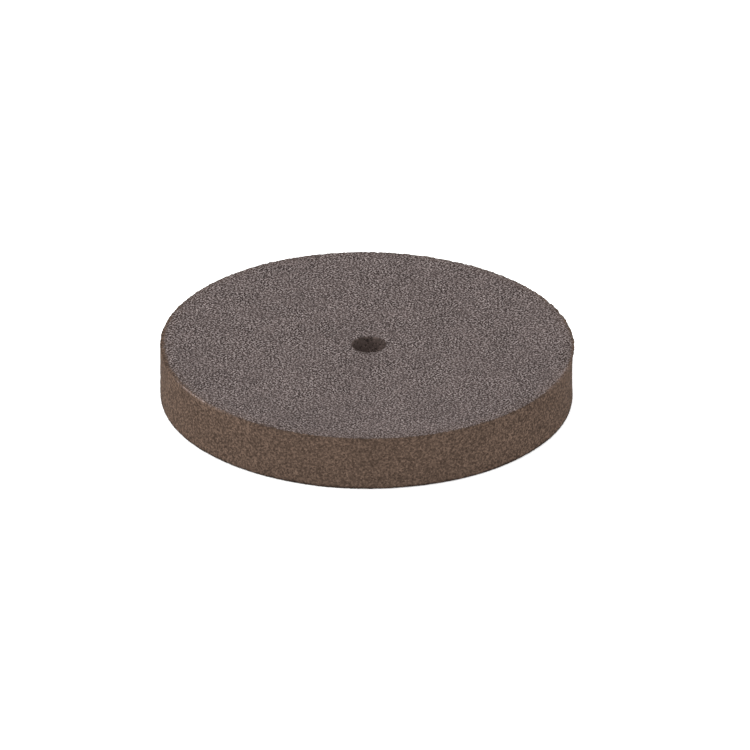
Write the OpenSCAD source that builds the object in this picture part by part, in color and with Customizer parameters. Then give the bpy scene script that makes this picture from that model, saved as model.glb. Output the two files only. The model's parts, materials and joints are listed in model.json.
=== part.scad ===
// Polishing wheel for a small screw mandrel: one flat, solid disc of moulded, grain-filled material
// with a plain round bore. It lies on its lower face; the axis of rotation is +Z and the origin is
// the centre of the bore at the lower face.

/* [Wheel] */
// Outside diameter of the wheel
wheel_d = 22; // [10:0.5:50]
// Thickness between the two flat faces
wheel_t = 3; // [1.5:0.1:8]
// Radius that wear leaves on the two outer corners of the rim
corner_r = 0.06; // [0.05:0.01:0.4]

/* [Bore] */
// Diameter of the hole that the mandrel's screw goes through
bore_d = 1.8; // [1.5:0.1:3.2]
// Radius on the two edges of the bore
mouth_r = 0.04; // [0.04:0.01:0.2]

/* [Colour] */
// Colour of the grain-filled material
wheel_colour = "dimgray"; // [dimgray, gray, saddlebrown]

/* [Hidden] */
wheel_r = wheel_d / 2;
bore_r = bore_d / 2;
$fn = 180;

// One rectangle of the section, between two radii and clear of both faces by margin.
module section_band(from_r, to_r, margin) {
    translate([from_r, margin])
        square([to_r - from_r, wheel_t - 2 * margin]);
}

// The two rounded corners of the section at one radius, each a full circle tangent to a face.
module section_corners(centre_r, radius) {
    for (height = [radius, wheel_t - radius])
        translate([centre_r, height])
            circle(r = radius);
}

// Half of the wheel's section: flat faces, straight bore wall and rim, and four rounded corners.
module wheel_section() {
    section_band(bore_r + mouth_r, wheel_r - corner_r, 0);
    section_band(bore_r, wheel_r / 2, mouth_r);
    section_band(wheel_r / 2, wheel_r, corner_r);
    section_corners(bore_r + mouth_r, mouth_r);
    section_corners(wheel_r - corner_r, corner_r);
}

module wheel_body() {
    color(wheel_colour)
        rotate_extrude()
            wheel_section();
}

wheel_body();
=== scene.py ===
"""Looks of a small polishing wheel: one moulded disc of grain-filled rubber with a plain round bore.

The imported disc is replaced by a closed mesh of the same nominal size. Its surface carries the relief
of the grain, open pores, crumbled corners and a torn lip along part of the upper corner, so it leaves
the nominal surface by up to about 0.15 mm. Lengths are in metres.
"""

import json
import math

import bpy
import numpy as np
from mathutils import Matrix, Vector, noise


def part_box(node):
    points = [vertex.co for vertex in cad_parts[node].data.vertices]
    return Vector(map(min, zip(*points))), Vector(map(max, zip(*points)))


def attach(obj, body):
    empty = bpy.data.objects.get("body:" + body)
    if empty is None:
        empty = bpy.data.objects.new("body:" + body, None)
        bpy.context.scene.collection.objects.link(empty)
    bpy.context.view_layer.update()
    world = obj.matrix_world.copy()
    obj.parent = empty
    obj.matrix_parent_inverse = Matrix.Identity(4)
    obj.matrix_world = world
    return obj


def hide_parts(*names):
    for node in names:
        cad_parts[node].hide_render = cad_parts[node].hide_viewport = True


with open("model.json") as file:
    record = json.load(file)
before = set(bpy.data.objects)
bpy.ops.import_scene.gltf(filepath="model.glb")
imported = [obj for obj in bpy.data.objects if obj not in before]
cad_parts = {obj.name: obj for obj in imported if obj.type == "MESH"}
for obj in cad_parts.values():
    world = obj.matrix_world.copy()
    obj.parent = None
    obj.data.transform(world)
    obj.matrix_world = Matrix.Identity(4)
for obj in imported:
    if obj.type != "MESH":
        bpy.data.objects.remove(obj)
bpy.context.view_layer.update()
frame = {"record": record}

MM = 0.001

# The wheel's sizes, from the frame.
LOW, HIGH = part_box("wheel_body")
WHEEL_R = (HIGH.x - LOW.x) / 2
WHEEL_T = HIGH.z - LOW.z
MOUNTS = {mount["name"]: mount for mount in frame["record"]["mounts"]}
BORE_R = MOUNTS["mandrel_bore"]["dims"]["r_mm"] * MM
UPPER_CORNER_R = 0.06 * MM
LOWER_CORNER_R = 0.08 * MM
MOUTH_R = 0.04 * MM

# The surface of the mesh.
STEP = 0.1015 * MM
SEED = 22
GRAIN_RELIEF = 0.005 * MM
LUMP_SIZE = 0.42 * MM
LUMP_RELIEF = 0.008 * MM
SWELL_SIZE = 4.5 * MM
SWELL_RELIEF = 0.018 * MM
PORE_SPACING = 0.9 * MM
PORE_R = 0.11 * MM
PORE_DEPTH = 0.04 * MM
PORE_SHARE = 0.25

# The upper and lower corners: how far wear reaches, chips, burrs and a torn lip.
WEAR_REACH = 0.13 * MM
WEAR_REACH_WIDE = 0.2 * MM
WEAR_WIDE_AT = math.radians(188)
WEAR_WIDE_SPREAD = math.radians(30)
WEAR_DROP = 0.015 * MM
SKIN_KEPT_AT = math.radians(275)
SKIN_KEPT_SPREAD = math.radians(55)
CHIP_SIZE = 0.34 * MM
CHIP_DEPTH = 0.02 * MM
NOTCH_DEPTH = 0.07 * MM
LIP_HEIGHT = 0.11 * MM
LIP_AT = math.radians(8)
LIP_SPREAD = math.radians(24)
WAIST_DEPTH = 0.05 * MM
BURR_HEIGHT = 0.05 * MM
# Each burr is raised relief with a painted highlight along it: the angle of its middle, its spread, its reach
# over the face and its strength.
BURRS = (
    (math.radians(215), math.radians(13), 0.08 * MM, 1.0),
    (math.radians(342), math.radians(11), 0.18 * MM, 0.4),
)
# Where the grain shows less contrast, and the notches in the upper edge as angles and spreads.
RUBBED_AT = math.radians(270)
RUBBED_SPREAD = math.radians(50)
EDGE_NOTCHES = ((math.radians(232), math.radians(2.2)), (math.radians(240), math.radians(1.2)))

# Painted shade along the lower edge, round each mouth of the bore and inside the bore near its mouths, and
# brown dust on the faces near the edge.
PAINTED_SHADE_REACH = 0.15 * MM
MOUTH_PAINTED_SHADE = 0.45
BORE_PAINTED_SHADE = 0.38
BORE_PAINTED_SHADE_REACH = 1.1 * MM
EDGE_DUST = 0.14
EDGE_DUST_REACH = 0.9 * MM

# The rim is a little off centre from the bore.
RUNOUT = 0.12 * MM

# The camera. Its distance is chosen for a nearly parallel view.
VIEW_ELEVATION = math.radians(27.05)
VIEW_DISTANCE = 100 * WHEEL_R
VIEW_WIDTH = 3.6345 * WHEEL_R
VIEW_ROLL = math.radians(0.38)
VIEW_RIGHT = 0.03 * WHEEL_R
VIEW_DOWN = 0.0267 * WHEEL_R
SENSOR_MM = 36.0

# The studio. The floor glows a little, like a light table, so it comes out as plain white.
FLOOR_REACH = 400 * WHEEL_R
FLOOR_COLOUR = (0.93, 0.93, 0.93, 1)
FLOOR_GLOW = 0.45
SKY_STRENGTH = 0.85
# Name, azimuth, elevation, strength and angular spread of each light, in degrees.
STUDIO_LIGHTS = (
    ("overhead_box", 180, 75, 0.5, 60),
    ("front_box", -40, 48, 0.8, 50),
    ("left_box", -94, 25, 0.98, 40),
    ("right_box", 100, 20, 0.5, 40),
)


def arc(centre_r, centre_z, radius, start, turn):
    """Stations on a quarter circle of the section, as (radius, height, normal out, normal up)."""
    count = max(3, math.ceil(abs(turn) * radius / STEP))
    for k in range(count):
        angle = start + turn * k / count
        yield (
            centre_r + radius * math.cos(angle),
            centre_z + radius * math.sin(angle),
            math.cos(angle),
            math.sin(angle),
        )


def line(from_r, from_z, to_r, to_z, normal_r, normal_z):
    """Stations along a straight stretch of the section, without its last point."""
    count = math.ceil(math.hypot(to_r - from_r, to_z - from_z) / STEP)
    for k in range(count):
        share = k / count
        yield (
            from_r + (to_r - from_r) * share,
            from_z + (to_z - from_z) * share,
            normal_r,
            normal_z,
        )


def section():
    """The closed section of the wheel, once round: top face, rim, lower face and bore."""
    inner = BORE_R + MOUTH_R
    upper, lower = WHEEL_R - UPPER_CORNER_R, WHEEL_R - LOWER_CORNER_R
    quarter = math.pi / 2
    stations = [
        *line(inner, WHEEL_T, upper, WHEEL_T, 0, 1),
        *arc(upper, WHEEL_T - UPPER_CORNER_R, UPPER_CORNER_R, quarter, -quarter),
        *line(WHEEL_R, WHEEL_T - UPPER_CORNER_R, WHEEL_R, LOWER_CORNER_R, 1, 0),
        *arc(lower, LOWER_CORNER_R, LOWER_CORNER_R, 0, -quarter),
        *line(lower, 0, inner, 0, 0, -1),
        *arc(inner, MOUTH_R, MOUTH_R, -quarter, -quarter),
        *line(BORE_R, MOUTH_R, BORE_R, WHEEL_T - MOUTH_R, -1, 0),
        *arc(inner, WHEEL_T - MOUTH_R, MOUTH_R, math.pi, -quarter),
    ]
    return np.array(stations)


def zip_rings(first, second, first_angles, second_angles):
    """Triangles between two rings of points, taking the next point of whichever ring is behind."""
    near = np.argmin(np.abs(np.angle(np.exp(1j * (second_angles - first_angles[0])))))
    turned = np.roll(second_angles, -near)
    turned = first_angles[0] + np.unwrap(
        np.concatenate([[np.angle(np.exp(1j * (turned[0] - first_angles[0])))], turned[1:] - first_angles[0]])
    )
    ahead_a = np.append(first_angles, first_angles[0] + 2 * math.pi)
    ahead_b = np.append(turned, turned[0] + 2 * math.pi)
    count_a, count_b = len(first_angles), len(turned)
    a = b = 0
    triangles = []
    while a < count_a or b < count_b:
        point_a = first + a % count_a
        point_b = second + (near + b) % count_b
        if b == count_b or (a < count_a and ahead_a[a + 1] <= ahead_b[b + 1]):
            a += 1
            triangles.append((point_a, point_b, first + a % count_a))
        else:
            b += 1
            triangles.append((point_a, point_b, second + (near + b) % count_b))
    return triangles


def lathe(rng):
    """Points, outward normals and triangles of the turned surface, spaced about one step apart."""
    points, normals, triangles, starts, rings = [], [], [], [], []
    total = 0
    for radius, height, out, up in section():
        count = round(2 * math.pi * radius / STEP)
        angles = (np.arange(count) + rng.random()) * 2 * math.pi / count
        points.append(np.stack([radius * np.cos(angles), radius * np.sin(angles), np.full(count, height)], 1))
        normals.append(np.stack([out * np.cos(angles), out * np.sin(angles), np.full(count, up)], 1))
        starts.append(total)
        rings.append(angles)
        total += count
    for k in range(len(rings)):
        after = (k + 1) % len(rings)
        triangles += zip_rings(starts[k], starts[after], rings[k], rings[after])
    return np.concatenate(points), np.concatenate(normals), np.array(triangles)


def smooth_step(values, low, high):
    """0 below low, 1 above high and smooth between."""
    share = np.clip((values - low) / (high - low), 0, 1)
    return share * share * (3 - 2 * share)


def smooth_noise(points, size):
    """Noise from about -1 to 1 with features one size across."""
    return np.array([noise.noise(Vector(point) / size) for point in points])


def pores(points):
    """How deep each point lies in an open pore, from 0 to 1."""
    depth = np.zeros(len(points))
    for k, point in enumerate(points):
        distances, centres = noise.voronoi(Vector(point) / PORE_SPACING)
        if noise.cell(centres[0] * 7.3) < PORE_SHARE:
            depth[k] = distances[0]
        else:
            depth[k] = 1
    return 1 - smooth_step(depth * PORE_SPACING, 0.25 * PORE_R, PORE_R)


def near_angle(angles, at, spread):
    """1 at one angle round the wheel, falling off over the spread."""
    away = np.angle(np.exp(1j * (angles - at)))
    return np.exp(-((away / spread) ** 2))


class Surface:
    """The turned surface's points, and what wear and moulding have done at each of them."""

    def __init__(self, rng):
        self.points, self.normals, self.triangles = lathe(rng)
        self.radius = np.hypot(self.points[:, 0], self.points[:, 1])
        self.angle = np.arctan2(self.points[:, 1], self.points[:, 0])
        self.outward = self.points * (1, 1, 0) / self.radius[:, None]
        self.height = self.points[:, 2]
        self.sideways = (self.normals * self.outward).sum(1)
        self.rng = rng
        self.pore = pores(self.points)
        self.find_corners()
        self.place()

    def find_corners(self):
        """How near each point is to a corner, how worn or chipped it is there, and where shade is painted on.
        """
        below_top = WHEEL_T - self.height
        from_edge = np.hypot(WHEEL_R - self.radius, np.minimum(below_top, self.height))
        ragged = smooth_noise(self.points, 0.9 * MM)
        fine = smooth_noise(self.points + 3 * MM, CHIP_SIZE)
        wide = near_angle(self.angle, WEAR_WIDE_AT, WEAR_WIDE_SPREAD)
        kept = near_angle(self.angle, SKIN_KEPT_AT, SKIN_KEPT_SPREAD)
        reach = WEAR_REACH * (1.02 - kept) + WEAR_REACH_WIDE * wide
        reach *= 1 + 0.3 * ragged + 0.25 * fine
        self.worn = 1 - smooth_step(from_edge, 0.35 * reach, reach)
        upper = below_top < WHEEL_T / 2
        self.chip = smooth_step(fine, 0.12, 0.5) * (1 - smooth_step(from_edge, 0.05 * MM, 0.16 * MM)) * upper
        notch = sum(near_angle(self.angle, at, spread) for at, spread in EDGE_NOTCHES) * upper
        self.notch = notch * (1 - smooth_step(from_edge, 0.05 * MM, 0.28 * MM))
        self.edge = (1 - smooth_step(from_edge, 0.04 * MM, 0.14 * MM)) * upper
        # The burrs lift the corner and also carry a painted highlight, stored as pale.
        self.burr = np.zeros(len(self.points))
        for at, spread, reach, strength in BURRS:
            on_edge = (1 - smooth_step(from_edge, 0.3 * reach, reach)) * upper
            self.burr += strength * near_angle(self.angle, at, spread) * (0.75 + 0.9 * fine) * on_edge
        self.burr = np.clip(self.burr, 0, 1)
        # Painted shade: a dark line along the lower edge, a dark ring round each mouth and darker towards the
        # mouths inside the bore.
        painted_shade_reach = PAINTED_SHADE_REACH * (1 + 0.5 * fine)
        self.painted_shade = (1 - smooth_step(from_edge, 0.3 * painted_shade_reach, painted_shade_reach)) * ~upper
        depth = np.minimum(below_top, self.height)
        mouth = 1 - smooth_step(np.hypot(self.radius - BORE_R, depth), 0.03 * MM, 0.14 * MM)
        in_bore = (self.sideways < -0.5) * (1 - smooth_step(depth, 0, BORE_PAINTED_SHADE_REACH))
        self.painted_shade = np.maximum.reduce([self.painted_shade, MOUTH_PAINTED_SHADE * mouth, BORE_PAINTED_SHADE * in_bore])
        self.dusted = EDGE_DUST * (1 - smooth_step(from_edge, 0.1 * MM, EDGE_DUST_REACH))
        self.rubbed = near_angle(self.angle, RUBBED_AT, RUBBED_SPREAD)
        self.rubbed *= smooth_step(self.radius, 0.35 * WHEEL_R, 0.85 * WHEEL_R)

    def shape(self):
        """How far each point moves along its normal, outward from the axis and upward."""
        grain = np.clip(self.rng.normal(0, 1, len(self.points)), -2, 2)
        along = GRAIN_RELIEF * grain * (1 + 2.5 * self.edge)
        along += LUMP_RELIEF * smooth_noise(self.points, LUMP_SIZE)
        along += SWELL_RELIEF * smooth_noise(self.points, SWELL_SIZE)
        along -= PORE_DEPTH * self.pore + CHIP_DEPTH * self.chip + NOTCH_DEPTH * self.notch
        along -= WEAR_DROP * self.worn**2 * (np.abs(self.normals[:, 2]) > 0.5)
        lip = near_angle(self.angle, LIP_AT, LIP_SPREAD)
        near_top = smooth_step(self.height, WHEEL_T - 0.35 * MM, WHEEL_T - 0.05 * MM)
        near_rim = smooth_step(self.radius, WHEEL_R - 0.3 * MM, WHEEL_R - 0.05 * MM)
        middle = 1 - (2 * self.height / WHEEL_T - 1) ** 2
        ragged = 0.6 + 0.4 * smooth_noise(self.points, 0.5 * MM)
        outward = lip * near_rim * (LIP_HEIGHT * near_top * ragged - WAIST_DEPTH * middle)
        return along, outward, BURR_HEIGHT * self.burr

    def place(self):
        """The points where they end up, shifted a little over the surface so that no rings show."""
        along, outward, upward = self.shape()
        shift = self.rng.uniform(-0.28, 0.28, self.points.shape) * STEP
        shift -= self.normals * (shift * self.normals).sum(1, keepdims=True)
        flat = np.maximum(np.abs(self.normals[:, 2]), np.abs(self.sideways)) > 0.999
        self.placed = self.points + self.normals * along[:, None] + self.outward * outward[:, None]
        self.placed += shift * flat[:, None] + np.array((0, 0, 1)) * upward[:, None]
        self.placed[:, 0] -= RUNOUT * (self.radius - BORE_R) / (WHEEL_R - BORE_R)

    def shares(self):
        """What the material needs to know at each point, each from 0 to 1."""
        broken = np.maximum(self.chip, self.notch)
        turned_over = smooth_step(self.sideways, 0.1, 0.7)
        return {
            "ground_share": np.maximum.reduce([turned_over, self.worn, broken, self.dusted]),
            "bore_share": smooth_step(-self.sideways, 0.0, 0.5),
            # Painted shade in open pores and, more faintly, in chips.
            "painted_hollow_shade": np.maximum(self.pore, 0.3 * broken),
            "rubbed": self.rubbed,
            # Painted shade along the lower edge, round the mouths and in the bore.
            "painted_shade": self.painted_shade,
            # Painted highlight along the burrs.
            "pale": self.burr,
        }


def wheel_mesh():
    """The wheel's closed mesh, with the shares that its material reads stored at its points."""
    surface = Surface(np.random.default_rng(SEED))
    mesh = bpy.data.meshes.new("wheel_surface")
    mesh.from_pydata(surface.placed.tolist(), [], surface.triangles.tolist())
    mesh.update()
    mesh.shade_smooth()
    for name, values in surface.shares().items():
        attribute = mesh.attributes.new(name, "FLOAT", "POINT")
        attribute.data.foreach_set("value", values.astype(np.float32))
    return mesh


class Nodes:
    """A short way to write a material's nodes."""

    def __init__(self, material):
        material.use_nodes = True
        self.tree = material.node_tree
        self.shader = self.tree.nodes["Principled BSDF"]

    def add(self, kind, inputs=None, **settings):
        node = self.tree.nodes.new(kind)
        for name, value in settings.items():
            setattr(node, name, value)
        for name, value in (inputs or {}).items():
            self.set(node.inputs[name], value)
        return node

    def set(self, socket, value):
        if isinstance(value, bpy.types.NodeSocket):
            self.tree.links.new(value, socket)
        else:
            socket.default_value = value

    def math(self, operation, first, second=0.5, third=0.0, clamp=False):
        node = self.add("ShaderNodeMath", operation=operation, use_clamp=clamp)
        for socket, value in zip(node.inputs, (first, second, third)):
            self.set(socket, value)
        return node.outputs[0]

    def blend(self, mode, share, first, second):
        node = self.add("ShaderNodeMix", data_type="RGBA", blend_type=mode)
        self.set(node.inputs[0], share)
        self.set(node.inputs[6], first)
        self.set(node.inputs[7], second)
        return node.outputs[2]

    def attribute(self, name):
        return self.add("ShaderNodeAttribute", attribute_name=name).outputs["Fac"]

    def ramp(self, value, stops):
        node = self.add("ShaderNodeValToRGB", {"Fac": value})
        elements = node.color_ramp.elements
        while len(elements) < len(stops):
            elements.new(0.5)
        for element, (place, colour) in zip(elements, stops):
            element.position = place
            element.color = colour if isinstance(colour, tuple) else (colour, colour, colour, 1)
        return node.outputs["Color"]

    def voronoi(self, where, size):
        return self.add("ShaderNodeTexVoronoi", {"Vector": where, "Scale": 1 / size})

    def cell_value(self, voronoi):
        """A different number from 0 to 1 in every cell."""
        return self.add("ShaderNodeSeparateColor", {"Color": voronoi.outputs["Color"]}).outputs[0]

    def noise(self, where, size, detail=2.0, distortion=0.0, **settings):
        inputs = {"Vector": where, "Scale": 1 / size, "Detail": detail, "Distortion": distortion}
        return self.add("ShaderNodeTexNoise", inputs, **settings).outputs["Fac"]


# The material's colours and the sizes of its patterns.
# The moulded faces' colour is partly their own greyer skin and partly painted sheen.
MOULDED_AND_SHEEN_COLOUR = (0.132, 0.105, 0.100, 1)
GROUND_COLOUR = (0.0955, 0.064, 0.0478, 1)
FACE_GRAIN_SIZE = 0.093 * MM
FACE_GRAIN_TURN = math.radians(33)
# The face's colours from the dark grains to the pale ones, each with its place in the noise; like the moulded
# colour, they are partly the face's own greyer skin and partly painted sheen.
FACE_GRAIN_AND_SHEEN = (
    (0.30, (0.015, 0.009, 0.008, 1)),
    (0.44, (0.023, 0.016, 0.015, 1)),
    (0.51, (0.115, 0.090, 0.086, 1)),
    (0.60, (0.216, 0.181, 0.174, 1)),
    (0.70, (0.301, 0.257, 0.248, 1)),
    (0.80, (0.321, 0.275, 0.267, 1)),
)
# How much each fine grain, and each coarser grain of the rim, darkens or lightens the colour.
FINE_GRAIN = ((0.0, 0.42), (0.17, 0.5), (0.21, 1.0), (0.81, 1.0), (0.85, 1.55))
RIM_GRAIN = ((0.3, 0.2), (0.42, 0.5), (0.5, 0.97), (0.58, 1.45), (0.7, 2.0))
SPECULAR_LEVEL = 0.02
BUMP_STRENGTH = 0.6
BUMP_HEIGHT = 0.02 * MM
GRAIN_SIZE = 0.06 * MM
RIM_GRAIN_SIZE = 0.12 * MM
DUST_SIZE = 0.03 * MM
PATCH_SIZE = 2.6 * MM
CONTRAST_SIZE = 1.1 * MM


def wheel_material():
    """Rubber packed with dark and pale grain: greyer moulded faces whose colour is partly painted sheen, a
    browner rim, a bore with painted light and with painted shade near its mouths, painted shade along the
    lower edge and in pores and chips, and painted highlights on the burrs.
    """
    material = bpy.data.materials.new("wheel_compound")
    n = Nodes(material)
    where = n.add("ShaderNodeTexCoord").outputs["Object"]
    ground = n.attribute("ground_share")
    in_bore = n.attribute("bore_share")
    painted_hollow_shade = n.attribute("painted_hollow_shade")
    painted_shade = n.attribute("painted_shade")
    pale = n.attribute("pale")
    rubbed = n.attribute("rubbed")

    turned = n.add("ShaderNodeMapping", {"Vector": where, "Rotation": (0, 0, FACE_GRAIN_TURN)}).outputs[0]
    face_noise = n.noise(turned, FACE_GRAIN_SIZE, 0.0, 0.25, noise_dimensions="2D")
    face_grain_and_sheen = n.ramp(face_noise, FACE_GRAIN_AND_SHEEN)
    grain = n.voronoi(where, GRAIN_SIZE)
    fine_shade = n.ramp(n.cell_value(grain), FINE_GRAIN)
    rim_grain = n.noise(where, RIM_GRAIN_SIZE, 0.0, 0.25)
    rim_shade = n.ramp(rim_grain, RIM_GRAIN)
    face_share = n.math("MULTIPLY_ADD", n.noise(where, CONTRAST_SIZE, 1.0), 0.9, 0.3, clamp=True)
    face_share = n.math("MULTIPLY", face_share, n.math("MULTIPLY_ADD", rubbed, -0.22, 1.0))
    face_share = n.math("MULTIPLY", face_share, n.math("SUBTRACT", 1.0, in_bore))
    # The faces' colour, partly painted sheen.
    moulded = n.blend("MIX", face_share, MOULDED_AND_SHEEN_COLOUR, face_grain_and_sheen)
    calm = n.math("MULTIPLY_ADD", rubbed, -0.19, 0.51)
    calm = n.math("MULTIPLY", calm, n.math("MULTIPLY_ADD", in_bore, -0.6, 1.0))
    coarse = n.math("MULTIPLY_ADD", n.math("SUBTRACT", rim_shade, 1.0), calm, 1.0)
    rim = n.blend("MULTIPLY", 1.0, GROUND_COLOUR, coarse)
    brown = n.math("MULTIPLY", ground, n.math("MULTIPLY_ADD", pale, -0.8, 1.0))
    brown = n.math("MULTIPLY_ADD", in_bore, 0.4, brown)
    colour = n.blend("MIX", brown, moulded, rim)

    shade = n.math("MULTIPLY_ADD", n.noise(where, PATCH_SIZE, 5.0), 0.4, 0.725)
    fine_share = n.math("MULTIPLY_ADD", ground, -0.35, 1.0)
    fine_shade = n.math("MULTIPLY_ADD", n.math("SUBTRACT", fine_shade, 1.0), fine_share, 1.0)
    shade = n.math("MULTIPLY", shade, fine_shade)
    # Painted shade in the pores and chips.
    shade = n.math("MULTIPLY", shade, n.math("MULTIPLY_ADD", painted_hollow_shade, -0.3, 1.0))
    # Painted shade darkens the lower edge, the rings round the mouths and the bore near its mouths.
    shade = n.math("MULTIPLY", shade, n.math("MULTIPLY_ADD", painted_shade, -0.72, 1.0))
    # Painted light: the bore wall is made lighter.
    shade = n.math("MULTIPLY", shade, n.math("MULTIPLY_ADD", in_bore, 0.22, 1.0))
    # Painted highlight along the burrs.
    shade = n.math("MULTIPLY", shade, n.math("MULTIPLY_ADD", pale, 1.4, 1.0))
    tinted = n.blend("MULTIPLY", 1.0, colour, shade)
    n.set(n.shader.inputs["Base Color"], tinted)

    rough = n.math("MULTIPLY_ADD", n.noise(where, GRAIN_SIZE, 1.0), 0.3, 0.68)
    n.set(n.shader.inputs["Roughness"], rough)
    n.set(n.shader.inputs["Specular IOR Level"], SPECULAR_LEVEL)

    lumps = n.math("MULTIPLY", rim_grain, n.math("MULTIPLY", ground, 3.0))
    height = n.math("SUBTRACT", n.noise(where, DUST_SIZE, 2.0), grain.outputs["Distance"])
    height = n.math("ADD", height, lumps)
    relief = {"Height": height, "Strength": BUMP_STRENGTH, "Distance": BUMP_HEIGHT}
    bump = n.add("ShaderNodeBump", relief)
    n.set(n.shader.inputs["Normal"], bump.outputs["Normal"])
    return material


def make_wheel():
    """The visible wheel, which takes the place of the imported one."""
    wheel = bpy.data.objects.new("polishing_wheel_disc", wheel_mesh())
    bpy.context.scene.collection.objects.link(wheel)
    wheel.data.materials.append(wheel_material())
    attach(wheel, "root")
    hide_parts("wheel_body")
    return wheel


def make_floor(wheel):
    """A large plain pale floor at the lowest grain of the wheel."""
    lowest = min(vertex.co.z for vertex in wheel.data.vertices)
    size = FLOOR_REACH
    mesh = bpy.data.meshes.new("floor")
    corners = [(-size, -size, lowest), (size, -size, lowest), (size, size, lowest), (-size, size, lowest)]
    mesh.from_pydata(corners, [], [(0, 1, 2, 3)])
    floor = bpy.data.objects.new("floor", mesh)
    bpy.context.scene.collection.objects.link(floor)
    material = bpy.data.materials.new("pale_floor")
    n = Nodes(material)
    n.shader.inputs["Base Color"].default_value = FLOOR_COLOUR
    n.shader.inputs["Emission Color"].default_value = (1, 1, 1, 1)
    n.shader.inputs["Emission Strength"].default_value = FLOOR_GLOW
    n.shader.inputs["Roughness"].default_value = 0.9
    n.shader.inputs["Specular IOR Level"].default_value = 0.1
    mesh.materials.append(material)


def make_sun(name, azimuth, elevation, strength, spread):
    """A distant soft light. Azimuth 0 is behind the camera and 90 is at its right."""
    sun = bpy.data.lights.new(name, "SUN")
    sun.energy = strength
    sun.angle = math.radians(spread)
    lamp = bpy.data.objects.new(name, sun)
    a, e = math.radians(azimuth), math.radians(elevation)
    towards = Vector((math.sin(a) * math.cos(e), -math.cos(a) * math.cos(e), math.sin(e)))
    lamp.rotation_euler = towards.to_track_quat("Z", "Y").to_euler()
    bpy.context.scene.collection.objects.link(lamp)


def make_lights():
    """Even light from all round, and four soft lights."""
    world = bpy.data.worlds.new("studio")
    bpy.context.scene.world = world
    world.use_nodes = True
    background = world.node_tree.nodes["Background"]
    background.inputs["Color"].default_value = (1, 1, 1, 1)
    background.inputs["Strength"].default_value = SKY_STRENGTH
    for light in STUDIO_LIGHTS:
        make_sun(*light)


def make_camera():
    """A long lens looking down at the wheel from in front, with the wheel a little up and left."""
    camera = bpy.data.cameras.new("camera")
    camera.sensor_width = SENSOR_MM
    camera.lens = SENSOR_MM * VIEW_DISTANCE / VIEW_WIDTH
    camera.clip_start = VIEW_DISTANCE / 50
    camera.clip_end = VIEW_DISTANCE * 50
    holder = bpy.data.objects.new("camera", camera)
    tilt = Matrix.Rotation(math.pi / 2 - VIEW_ELEVATION, 4, "X")
    right, up, back = (tilt.to_3x3().col[k] for k in range(3))
    centre = Vector((0, 0, WHEEL_T / 2))
    place = centre + back * VIEW_DISTANCE + right * VIEW_RIGHT - up * VIEW_DOWN
    holder.matrix_world = Matrix.Translation(place) @ tilt @ Matrix.Rotation(VIEW_ROLL, 4, "Z")
    bpy.context.scene.collection.objects.link(holder)
    bpy.context.scene.camera = holder
    bpy.context.scene.view_settings.view_transform = "Standard"


wheel = make_wheel()
make_floor(wheel)
make_lights()
make_camera()
